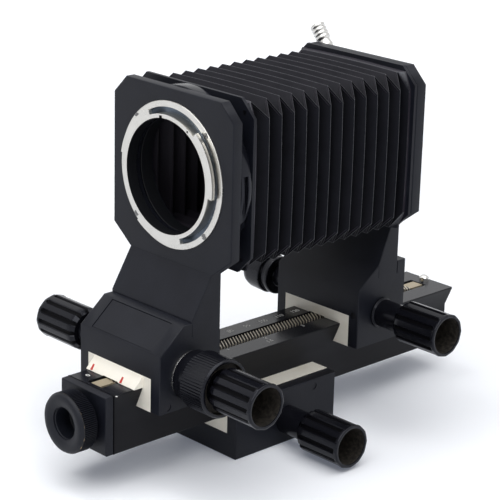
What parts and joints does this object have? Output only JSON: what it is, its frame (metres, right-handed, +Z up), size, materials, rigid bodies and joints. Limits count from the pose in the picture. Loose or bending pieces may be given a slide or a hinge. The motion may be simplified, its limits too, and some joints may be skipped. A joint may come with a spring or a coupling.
{
  "type": "macro bellows unit",
  "caption": "Hand-driven macro bellows: octagonal lens and camera standards joined by a folding bellows, geared along a dovetail rail that slides in a tripod block.",
  "frame": {"origin": "mouth of the tripod socket, in the middle of the block's underside, on the surface that the unit stands on", "axes": "+Y along the rail from the lens side towards the camera, +Z up, +X to the right seen from the lens side"},
  "size_m": [0.135, 0.2221, 0.1671],
  "materials": {
    "black_paint": "satin black paint on cast alloy",
    "black_anodised": "smooth black anodising",
    "black_knob": "glossy black enamel",
    "white_nylon": "machined white nylon",
    "bright_alloy": "fine turned satin chrome",
    "bright_steel": "bright steel",
    "dark_steel": "blackened steel",
    "rack_brass": "dull pale brass",
    "bellows_leather": "thin black grained leather"
  },
  "bodies": {
    "block": {"tripod_block": "black_paint", "tripod_socket": "bright_steel", "block_liner": "white_nylon", "block_sleeve": "black_knob", "block_set_screws": "dark_steel"},
    "block_drive": {"block_pinion_shaft": "bright_steel", "block_knob": "black_knob", "block_knob_screw": "dark_steel"},
    "block_lock": {"block_lock_screw": "bright_steel", "block_lock_knob": "black_knob"},
    "rail": {"rail": "black_anodised", "top_rack": "rack_brass", "bottom_rack": "rack_brass", "rack_screws": "bright_steel", "front_end_plate": "black_anodised", "rod_socket": "black_anodised", "stop_stud": "bright_steel", "rail_stop_screw": "bright_steel"},
    "collar": {"clamp_collar": "black_anodised"},
    "front_standard": {"front_standard": "black_paint", "front_foot": "black_paint", "label_plate": "black_paint", "front_liner": "white_nylon", "lens_mount": "bright_alloy", "mount_screws": "bright_steel", "bellows_hub": "black_paint", "front_frame": "black_paint", "frame_screws": "dark_steel", "front_washer": "bright_alloy", "lock_collar": "black_knob", "front_sleeve": "black_knob", "front_set_screws": "dark_steel", "bellows_front": "bellows_leather"},
    "front_lock": {"lock_ring": "black_knob"},
    "front_drive": {"front_pinion_shaft": "bright_steel", "front_knob_right": "black_knob", "front_knob_left": "black_knob", "front_knob_screws": "dark_steel"},
    "aperture": {"aperture_ring": "black_anodised"},
    "rear_standard": {"rear_standard": "black_paint", "rear_foot": "black_paint", "rear_liner": "white_nylon", "rear_frame": "black_paint", "bellows_rear": "bellows_leather", "rear_sleeve": "black_knob", "rear_set_screws": "dark_steel", "camera_mount": "bright_alloy", "camera_mount_screws": "bright_steel", "retaining_ring": "bright_steel"},
    "rear_drive": {"rear_pinion_shaft": "bright_steel", "rear_knob": "black_knob", "rear_knob_screw": "dark_steel"},
    "rear_lock": {"rear_lock_screw": "bright_steel", "rear_lock_knob": "black_knob"},
    "camera_clamp": {"clamp_ring": "bright_alloy", "clamp_lever": "bright_steel"}
  },
  "joints": [
    {"name": "rail_slide", "type": "slide", "parent": "block", "child": "rail", "axis": [0, 1, 0], "range_m": [-0.079, 0.055]},
    {"name": "block_drive_turn", "type": "hinge", "parent": "block", "child": "block_drive", "pos_m": [0, 0, 0.01107], "axis": [1, 0, 0], "range_deg": [-603.6, 866.8]},
    {"name": "block_lock_turn", "type": "hinge", "parent": "block", "child": "block_lock", "pos_m": [-0.03, 0, 0.01107], "axis": [-1, 0, 0], "range_deg": [0, 120]},
    {"name": "front_slide", "type": "slide", "parent": "rail", "child": "front_standard", "axis": [0, 1, 0], "range_m": [-0.009, 0.028], "deforming": ["bellows_front"]},
    {"name": "front_drive_turn", "type": "hinge", "parent": "front_standard", "child": "front_drive", "pos_m": [0, -0.05655, 0.04653], "axis": [1, 0, 0], "range_deg": [-307.5, 99.2]},
    {"name": "front_lock_turn", "type": "hinge", "parent": "front_standard", "child": "front_lock", "pos_m": [0.04, -0.05655, 0.04653], "axis": [1, 0, 0], "range_deg": [0, 60]},
    {"name": "aperture_turn", "type": "hinge", "parent": "front_standard", "child": "aperture", "pos_m": [0, -0.0435, 0.12284], "axis": [0, -1, 0], "range_deg": [0, 20], "stiffness_Nm_per_rad": 0.02},
    {"name": "rear_slide", "type": "slide", "parent": "rail", "child": "rear_standard", "axis": [0, 1, 0], "range_m": [-0.026, 0.036], "deforming": ["bellows_rear"]},
    {"name": "rear_drive_turn", "type": "hinge", "parent": "rear_standard", "child": "rear_drive", "pos_m": [0, 0.0578, 0.04653], "axis": [1, 0, 0], "range_deg": [-395.2, 285.6]},
    {"name": "rear_lock_turn", "type": "hinge", "parent": "rear_standard", "child": "rear_lock", "pos_m": [-0.03, 0.0578, 0.04653], "axis": [-1, 0, 0], "range_deg": [0, 120]},
    {"name": "camera_clamp_turn", "type": "hinge", "parent": "rear_standard", "child": "camera_clamp", "pos_m": [0, 0.07, 0.12284], "axis": [0, -1, 0], "range_deg": [0, 45]},
    {"name": "collar_turn", "type": "hinge", "parent": "rail", "child": "collar", "pos_m": [0, -0.0983, 0.0288], "axis": [0, -1, 0], "range_deg": [0, 180]}
  ],
  "couplings": [
    {"joint": "block_drive_turn", "follows": "rail_slide", "rad_per_m": -191.39},
    {"joint": "front_drive_turn", "follows": "front_slide", "rad_per_m": -191.39},
    {"joint": "rear_drive_turn", "follows": "rear_slide", "rad_per_m": -191.39}
  ]
}
